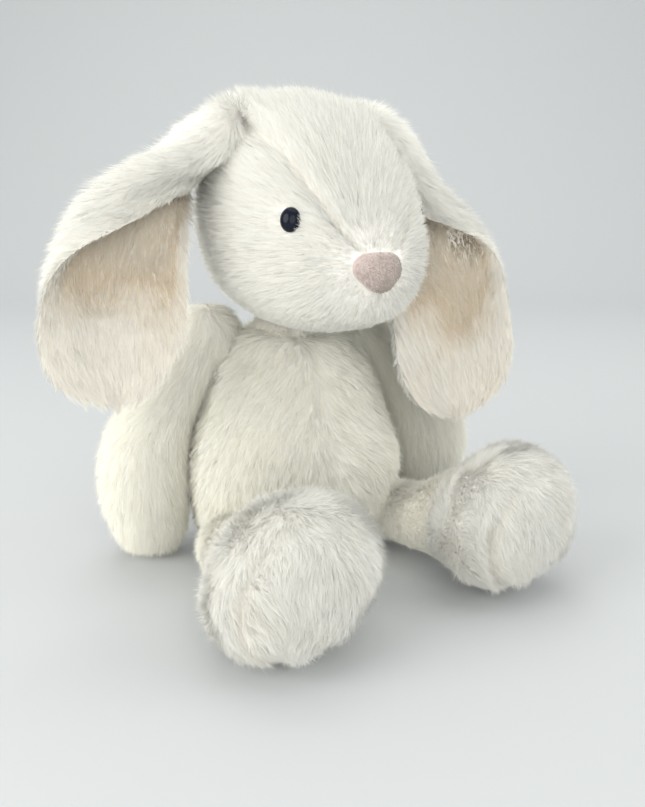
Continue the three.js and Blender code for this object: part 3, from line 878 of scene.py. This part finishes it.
# how far a stuffed ear settles from the flat pattern's route, at each knot
EAR_SETTLE = {
    "right": [[-4, 1, -6], [1, 0, 2], [0, 0, 1], [0, 0, 0], [0, 0, 0]],
    "left": [[-2, 2, -6], [-5, 3, -2], [-8, 3, -1], [-7, 2, 0], [-8, 0, -1]],
}
EAR_WIDTH = {"right": 30, "left": 33}
# the folded rim: its width, its turn in degrees, and where along the ear it starts and ends to fade
EAR_FLAPS = {"right": (19, 152, 0.36, 0.8), "left": (17, 150, 0.2, 0.7)}
# the two dimples in the lining: depth, where along, where round, and their sizes along and round
EAR_DIMPLES = ((2.6, 0.52, 0.32, 0.05, 0.05), (3.4, 0.7, 0.22, 0.05, 0.06))


def fold_profile(width, curl, flap, turn):
    """Across half an ear: a gentle curl, then at the rim a flap that folds over by a turn in degrees.

    Gives distances across and forward, and the angle the sheet faces, at even steps of the width."""
    steps = 80
    q = np.linspace(0, 1, steps)
    reach = width + flap
    bend_start = max(width - 7.0, 0.4 * width) / reach
    bend_end = min(bend_start + math.radians(turn) * 6.0 / reach, 1.0)
    angle = curl * np.minimum(q / max(bend_start, 1e-3), 1)
    angle = angle + math.radians(turn) * smooth(q, bend_start, max(bend_end, bend_start + 1e-3))
    step = reach / (steps - 1)
    mids = 0.5 * (angle[1:] + angle[:-1])
    out = np.concatenate([[0], np.cumsum(np.cos(mids) * step)])
    forward = np.concatenate([[0], np.cumsum(np.sin(mids) * step)])
    return q, out, forward, angle


def ear_surface(side):
    """A thin padded leaf along a route, whose outer rim folds over to the front near the root."""
    knots = np.array(EAR_ROUTES[side], float)
    outwards = -1 if side == "right" else 1
    knots += np.array(EAR_SETTLE[side])
    inside = knots[0] + np.array([-outwards * 4.0, 1.0, -3.0])
    flap_wide, flap_turn, flap_from, flap_to = EAR_FLAPS[side]
    fine = spline(np.vstack([inside, knots]), np.linspace(0, 1, 500))
    run = np.concatenate([[0], np.cumsum(np.linalg.norm(np.diff(fine, axis=0), axis=1))])
    start = run[100]
    run = (run - start) / (run[-1] - start)

    def route(t):
        t = np.clip(t, run[0], 1)
        return np.stack([np.interp(t, run, fine[:, k]) for k in range(3)], -1)

    def at(u, v):
        t = run[0] + (1 - run[0]) * v
        centre = route(t)
        along = unit(route(t + 0.01) - route(t - 0.01))
        turned = smooth(t, *EAR_TURNS[side])[..., None]
        level = -outwards * unit(np.cross(np.broadcast_to(Y, along.shape), along))
        across = Y * (turned - 1) + level * turned
        across = unit(flat_on(across, along))
        front = outwards * unit(np.cross(along, across))
        spread = smooth(t, 0.12, 0.72)
        tip = np.clip((t - 0.76) / 0.24, 0, 1)
        wide = (13.5 * (1 - spread) + EAR_WIDTH[side] * spread) * np.sqrt(np.maximum(1 - tip**2, 0.004))
        wide = wide * np.sqrt(np.clip((t - run[0]) / 0.08, 0.02, 1))
        angle = 2 * math.pi * u
        s = np.cos(angle)
        out, forward, facing_angle = (np.zeros_like(u) for _ in range(3))
        for j in range(u.shape[1]):
            here = t[0, j]
            begun = smooth(here, -0.09, 0.06)
            flap = flap_wide * begun * (1 - smooth(here, flap_from + 0.04, flap_to))
            turn = flap_turn * begun * (1 - smooth(here, flap_from, flap_to + 0.05))
            for sign, flap, turn in ((1, flap, turn), (-1, 0, 0.2 * turn)):
                q, o, f, a = fold_profile(wide[0, j], 0.42 * smooth(here, 0.0, 0.3), flap, turn)
                mine = np.sign(s[:, j]) * sign >= 0
                out[mine, j] = np.interp(np.abs(s[mine, j]), q, o) * sign
                forward[mine, j] = np.interp(np.abs(s[mine, j]), q, f)
                facing_angle[mine, j] = np.interp(np.abs(s[mine, j]), q, a) * sign
        sheet = centre + out[..., None] * across + forward[..., None] * front
        facing = front * np.cos(facing_angle)[..., None] - across * np.sin(facing_angle)[..., None]
        thick = 3.2 + 1.8 * smooth(t, 0.25, 0.05) + 1.4 * smooth(t, 0.5, 0.8)
        thick = thick * np.sin(angle) * np.sqrt(np.maximum(1 - s**4, 0))
        thick = thick * np.sqrt(np.clip((1 - t) / 0.06, 0.05, 1))
        return sheet + thick[..., None] * facing

    def dent(u, v, p):
        face = smooth(np.sin(2 * math.pi * u), 0.2, 0.6)
        dimples = 0
        for depth, at_v, at_u, long, wide in EAR_DIMPLES:
            dimples = dimples + depth * bell(v, at_v, long) * bell(u, at_u, wide)
        return face * dimples

    return Surface(at, 144, 120, dent)


def grow_ear(side, lining, roots, normals, along, u, v):
    """The pile on one face of an ear: the lining, or the back."""
    across = np.cos(2 * math.pi * u)  # positive on the side whose rim folds over
    rim = np.abs(across)
    outward = unit(np.cross(along, normals))
    lean_out = np.sign(across) * (1 if lining else -1)
    folded = (across > 0.3) * smooth(v, 0.6, 0.42)
    spill = 0.3 if lining else -0.1
    flow = along + spill * (rim**2 * lean_out * (1 - folded))[:, None] * outward
    flow = flow + 0.18 * waves(roots, 24, 41)[:, None] * outward - 0.15 * Z
    uneven = 0.8 * waves(roots, 14, 42)
    if lining:
        tall = (6.6 + uneven + 2.2 * rim**8) * (1 - 0.65 * folded)
        # partly the lining's own beige and partly painted shade: towards the middle of the lining, away from
        # the rim and the ends, the strands take the darker, warmer beige tints, for the shade in the ear's
        # hollow
        hollow_beige_and_shade = smooth(v, 0.08, 0.2) * smooth(v, 0.8, 0.5) * smooth(rim, 1.0, 0.7)
        tone = -0.25 + 0.7 * hollow_beige_and_shade + 0.1 * waves(roots, 12, 44)
        upper, lower = ((at_v, at_u) for _, at_v, at_u, _, _ in EAR_DIMPLES)
        # painted shade: the strands in the two dimples of the lining take darker tints, for the shade in the
        # dimples
        upper_dimple_shade = 0.2 * bell(v, upper[0], 0.05) * bell(u, upper[1], 0.05)
        tone += 0.3 * bell(v, lower[0], 0.055) * bell(u, lower[1], 0.075) + upper_dimple_shade
        facing = folded[:, None] * (Z - 1.6 * Y - 2 * normals)  # light passes through the rolled rim
        grow(f"fur_ear_{side}_lining", f"ear_{side}", roots, normals, flow, tall, "beige",
             lean=66, width=0.33, share=0.17, pull=0.36, ruffle=0.12,
             tone=tone, cast=0.15, vary=0.3, facing=facing)
    else:
        tall = (8.8 + uneven - 4.0 * rim**8) * (1 - 0.6 * smooth(v, 0.88, 0.97))
        tone = 0.3 * smooth(rim, 0.8, 1.0) * smooth(across, 0.0, 0.4)
        edge = smooth(rim, 0.8, 0.98)[:, None] * (0.6 * Z - 0.8 * Y - 1.3 * normals)
        root = smooth(v, 0.3, 0.1)[:, None] * (0.5 * Z - 1.1 * Y)
        grow(f"fur_ear_{side}_back", f"ear_{side}", roots, normals, flow, tall, "white",
             lean=66, width=0.33, share=0.17, pull=0.36, ruffle=0.12,
             tone=tone, cast=0.15, facing=edge + root)


def build_ear(side):
    ear = ear_surface(side)
    sheets = [f"ear_{side}_outer", f"ear_{side}_lining"]
    skin(f"ear_{side}_pad", ear, f"ear_{side}", sheets, lining_cloth)
    places = ear.sample(60000)
    front = np.sin(2 * math.pi * places[3]) > 0.12
    for lining in (True, False):
        grow_ear(side, lining, *(values[front == lining] for values in places))


# ------------------------------------------------------------------ what is inside


def build_inside():
    """The fillings and the pellet pouch, as smooth padded lumps of what they are made of."""
    plan = {
        "torso_stuffing": "torso",
        "seat_bean_pouch": "torso",
        "tail_stuffing": "torso",
        "head_stuffing": "head",
    }
    for side in ("right", "left"):
        plan[f"arm_{side}_stuffing"] = f"arm_{side}"
        plan[f"leg_{side}_stuffing"] = f"leg_{side}"
        plan[f"leg_{side}_hip_stuffing"] = f"hip_{side}"
    for node, body in plan.items():
        mesh = frame["nodes"][node].data.copy()
        mesh.materials.clear()
        mesh.materials.append(bean_cloth if node == "seat_bean_pouch" else fibre_cloth)
        piece = bpy.data.objects.new(f"{node}_pad", mesh)
        bpy.context.scene.collection.objects.link(piece)
        remesh = piece.modifiers.new("even", "REMESH")
        remesh.mode = "VOXEL"
        remesh.voxel_size = 0.0025
        soften = piece.modifiers.new("soften", "SMOOTH")
        soften.iterations = 6
        bpy.context.view_layer.update()
        shrink = piece.modifiers.new("shrink", "DISPLACE")  # the filling stays well inside its cover
        shrink.strength = -0.0028 if "leg" in node else -0.001
        shrink.mid_level = 0
        bpy.context.view_layer.update()
        done = bpy.data.meshes.new_from_object(piece.evaluated_get(bpy.context.evaluated_depsgraph_get()))
        piece.modifiers.clear()
        piece.data = done
        done.polygons.foreach_set("use_smooth", np.ones(len(done.polygons), bool))
        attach(piece, body)
        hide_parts(node)
    washer = mottled("washer_moulding", (0.78, 0.78, 0.76), (0.85, 0.85, 0.83), 300, 0.15,
                     roughness=0.45, sheen=0)
    for side in ("right", "left"):
        frame["nodes"][f"eye_washer_{side}"].data.materials.clear()
        frame["nodes"][f"eye_washer_{side}"].data.materials.append(washer)


# ------------------------------------------------------------------ floor, light and camera

CAMERA_AZIMUTH = -25  # degrees from the front, towards the toy's right


def build_stage():
    """A pale seamless sweep: floor in front, curving up into the backdrop."""
    profile = [(-1.6, 0.0)]
    for k in range(25):
        a = k / 24 * math.pi / 2
        profile.append((0.9 + 0.8 * math.sin(a), 0.8 - 0.8 * math.cos(a)))
    profile.append((1.7, 2.6))
    points, corners, starts = [], [], []
    for x in (-3.0, 3.0):
        for y, z in profile:
            points.append(about(np.array([x, y, z]), Z, CAMERA_AZIMUTH))
    n = len(profile)
    for k in range(n - 1):
        starts.append(4 * k)
        corners += [k, n + k, n + k + 1, k + 1]
    material, tree, shader = node_material("seamless_paper", (0.585, 0.6, 0.605), 0.8, specular=0.2)
    nodes, links = tree.nodes, tree.links
    grain = nodes.new("ShaderNodeTexNoise")
    grain.inputs["Scale"].default_value = 900
    lift = nodes.new("ShaderNodeBump")
    lift.inputs["Strength"].default_value = 0.04
    lift.inputs["Distance"].default_value = 0.0003
    links.new(grain.outputs["Fac"], lift.inputs["Height"])
    links.new(lift.outputs["Normal"], shader.inputs["Normal"])
    sweep = make_object(
        "studio_sweep", np.array(points) / MM, np.array(corners), np.array(starts), [material]
    )


def area_light(name, place, target, size, power, colour):
    data = bpy.data.lights.new(name, "AREA")
    data.shape = "DISK"
    data.size = size
    data.energy = power
    data.color = colour
    light = bpy.data.objects.new(name, data)
    way = np.array(target, float) - np.array(place, float)
    light.location = place
    light.rotation_euler = aim(way)
    bpy.context.scene.collection.objects.link(light)


def aim(way):
    """The rotation that points a lamp's or the camera's own -Z along a direction."""
    return Vector(way).to_track_quat("-Z", "Y").to_euler()


def build_light():
    world = bpy.data.worlds.new("studio")
    bpy.context.scene.world = world
    world.use_nodes = True
    world.node_tree.nodes["Background"].inputs["Color"].default_value = (0.985, 1.0, 0.99, 1)
    world.node_tree.nodes["Background"].inputs["Strength"].default_value = 0.62
    area_light("window", (-1.2, -0.2, 0.62), (0, 0, 0.08), 1.1, 10.5, (1.0, 0.995, 0.97))
    area_light("front_fill", (-0.5, -1.7, 0.66), (0, 0, 0.08), 1.8, 15.2, (0.99, 1.0, 0.99))
    area_light("right_fill", (1.3, -0.9, 0.7), (0, 0, 0.08), 1.5, 5.5, (0.98, 1.0, 1.0))
    area_light("back_fill", (0.2, 0.9, 1.4), (0, 0, 0.08), 1.2, 4.5, (0.99, 1.0, 1.0))
    area_light("overhead", (0.2, 0.1, 1.5), (0, 0, 0.1), 1.6, 6.5, (1.0, 1.0, 0.98))


def build_camera():
    data = bpy.data.cameras.new("camera")
    data.lens = 39.45
    data.sensor_width = 36
    data.clip_start = 0.01
    target = (np.array([3.18, -29.0, 76.44]) + SHIFT) * MM
    level = about(-Y, Z, CAMERA_AZIMUTH)
    elevation = math.radians(13.91)
    back = level * math.cos(elevation) + Z * math.sin(elevation)
    camera = bpy.data.objects.new("camera", data)
    camera.location = target + 0.4 * back
    camera.rotation_euler = aim(-back)
    bpy.context.scene.collection.objects.link(camera)
    bpy.context.scene.camera = camera
    bpy.context.scene.view_settings.view_transform = "Standard"


build_stage()
build_light()
build_camera()
build_head()
build_nose()
for one in ("right", "left"):
    build_eye(one)
build_torso()
build_seat()
build_joins()
build_tail()
for one in ("right", "left"):
    build_ear(one)
    build_arm(one)
    build_leg(one)
build_inside()
